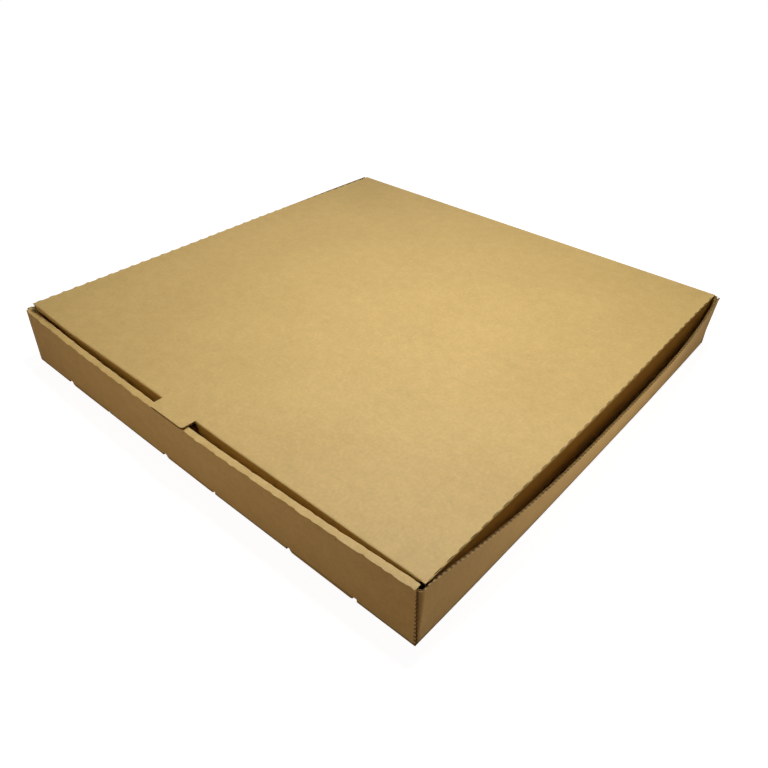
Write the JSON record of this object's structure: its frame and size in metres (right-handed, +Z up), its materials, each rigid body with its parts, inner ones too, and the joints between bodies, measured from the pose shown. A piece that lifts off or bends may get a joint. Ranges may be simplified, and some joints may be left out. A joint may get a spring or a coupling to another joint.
{
  "type": "pizza box",
  "caption": "Square pizza box folded from one sheet of plain brown corrugated board, with a hinged lid, flaps that hang inside the tray and a finger tab at the front.",
  "frame": {"origin": "centre of the underside of the bottom panel, at the middle of the outside width and depth", "axes": "+X along the front wall to the right as seen from the front, +Y from the front wall to the hinge, +Z up"},
  "size_m": [0.3988, 0.3903, 0.0521],
  "materials": {
    "kraft_board": "matte"
  },
  "bodies": {
    "tray": {"tray": "kraft_board"},
    "lid": {"lid": "kraft_board"}
  },
  "joints": [
    {"name": "lid_hinge", "type": "hinge", "parent": "tray", "child": "lid", "pos_m": [0, 0.1925, 0.0454], "axis": [-1, 0, 0], "range_deg": [0, 180]}
  ]
}
